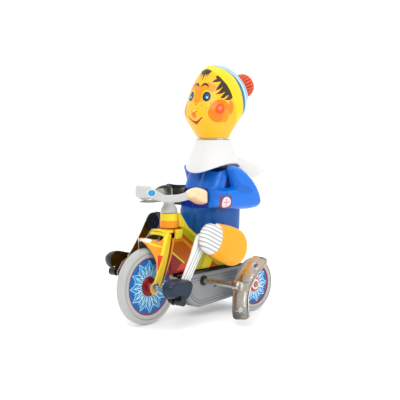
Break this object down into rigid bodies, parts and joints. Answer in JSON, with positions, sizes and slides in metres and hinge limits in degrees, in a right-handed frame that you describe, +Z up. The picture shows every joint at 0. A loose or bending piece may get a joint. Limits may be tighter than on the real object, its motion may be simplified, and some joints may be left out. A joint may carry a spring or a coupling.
{
  "type": "wind-up tin tricycle rider",
  "caption": "Wind-up tin boy with a tasselled cap riding a tricycle; the front wheel's cranks pump his hinged legs and a butterfly key winds the clockwork.",
  "frame": {"origin": "on the floor, in the middle plane, halfway between the front and rear axles", "axes": "+Z up; the rider faces -Y and rolls along Y; +X is the rider's left side"},
  "size_m": [0.0879, 0.142, 0.168],
  "materials": {
    "frame_litho": "gloss",
    "fork_litho": "gloss",
    "head_tube_litho": "gloss",
    "base_black": "satin",
    "cover_grey": "satin",
    "motor_steel": "satin",
    "spring_steel": "satin",
    "gear_brass": "satin",
    "key_steel": "satin",
    "axle_steel": "satin",
    "wheel_litho": "gloss",
    "tyre_grey": "satin",
    "hub_red": "gloss",
    "bar_grey": "satin",
    "crank_black": "satin",
    "leg_litho": "gloss",
    "thigh_litho": "gloss",
    "torso_litho": "gloss",
    "sleeve_litho": "gloss",
    "hand_litho": "gloss",
    "neck_steel": "satin",
    "head_litho": "gloss",
    "pompom_litho": "gloss",
    "collar_cloth": "matte",
    "scarf_cloth": "matte"
  },
  "bodies": {
    "chassis": {"frame_left": "frame_litho", "frame_right": "frame_litho", "head_tube": "head_tube_litho", "base_plate": "base_black", "motor_cover": "cover_grey", "key_bush": "base_black", "motor_plate_left": "motor_steel", "motor_plate_right": "motor_steel", "motor_pillars": "motor_steel", "mainspring": "spring_steel", "hip_pin_left": "axle_steel", "hip_pin_right": "axle_steel", "torso_left": "torso_litho", "torso_right": "torso_litho", "arm_left": "sleeve_litho", "arm_right": "sleeve_litho", "hand_left": "hand_litho", "hand_right": "hand_litho", "neck_tube": "neck_steel", "head_left": "head_litho", "head_right": "head_litho", "pompom": "pompom_litho", "collar": "collar_cloth", "scarf_tail": "scarf_cloth"},
    "steering": {"fork": "fork_litho", "mudguard": "fork_litho", "steering_stem": "axle_steel", "stem_cone": "bar_grey", "handlebar": "bar_grey"},
    "front_wheel": {"front_axle": "axle_steel", "front_disc_left": "wheel_litho", "front_disc_right": "wheel_litho", "front_tyre": "tyre_grey", "crank_left": "crank_black", "crank_right": "crank_black", "pedal_left": "crank_black", "pedal_right": "crank_black"},
    "leg_left": {"lower_leg_left": "leg_litho"},
    "leg_right": {"lower_leg_right": "leg_litho"},
    "upper_leg_left": {"thigh_left": "thigh_litho"},
    "upper_leg_right": {"thigh_right": "thigh_litho"},
    "rear_wheels": {"rear_axle": "axle_steel", "rear_disc_left": "wheel_litho", "rear_disc_right": "wheel_litho", "rear_tyre_left": "tyre_grey", "rear_tyre_right": "tyre_grey", "rear_hub_left": "hub_red", "rear_hub_right": "hub_red", "axle_gear": "gear_brass"},
    "layshaft_set": {"layshaft": "motor_steel", "layshaft_pinion": "gear_brass", "layshaft_wheel": "gear_brass"},
    "key_set": {"winding_shaft": "key_steel", "great_wheel": "gear_brass", "ratchet_wheel": "motor_steel", "click_spring": "motor_steel", "key_handle": "key_steel"}
  },
  "joints": [
    {"name": "steer", "type": "hinge", "parent": "chassis", "child": "steering", "pos_m": [0, -0.019, 0.066], "axis": [0, 0, 1], "range_deg": [-5, 5]},
    {"name": "front_wheel_spin", "type": "hinge", "parent": "steering", "child": "front_wheel", "pos_m": [0, -0.04, 0.025], "axis": [1, 0, 0], "continuous": true},
    {"name": "pedal_pivot_left", "type": "hinge", "parent": "front_wheel", "child": "leg_left", "pos_m": [0.0208, -0.03615, 0.01776], "axis": [1, 0, 0], "continuous": true},
    {"name": "pedal_pivot_right", "type": "hinge", "parent": "front_wheel", "child": "leg_right", "pos_m": [-0.0208, -0.04385, 0.03224], "axis": [1, 0, 0], "continuous": true},
    {"name": "hip_left", "type": "hinge", "parent": "chassis", "child": "upper_leg_left", "pos_m": [0.027, 0.012, 0.047], "axis": [1, 0, 0], "range_deg": [-14, 6]},
    {"name": "hip_right", "type": "hinge", "parent": "chassis", "child": "upper_leg_right", "pos_m": [-0.027, 0.012, 0.047], "axis": [1, 0, 0], "range_deg": [-10, 10]},
    {"name": "rear_axle_spin", "type": "hinge", "parent": "chassis", "child": "rear_wheels", "pos_m": [0, 0.04, 0.0185], "axis": [1, 0, 0], "continuous": true},
    {"name": "layshaft_spin", "type": "hinge", "parent": "chassis", "child": "layshaft_set", "pos_m": [0, 0.02229, 0.02465], "axis": [1, 0, 0], "continuous": true},
    {"name": "key_spin", "type": "hinge", "parent": "chassis", "child": "key_set", "pos_m": [0, 0.0043, 0.024], "axis": [1, 0, 0], "continuous": true}
  ],
  "couplings": [
    {"joint": "pedal_pivot_left", "follows": "front_wheel_spin", "ratio": -1},
    {"joint": "pedal_pivot_right", "follows": "front_wheel_spin", "ratio": -1},
    {"joint": "layshaft_spin", "follows": "rear_axle_spin", "ratio": -0.78571},
    {"joint": "key_spin", "follows": "rear_axle_spin", "ratio": 0.20677}
  ]
}
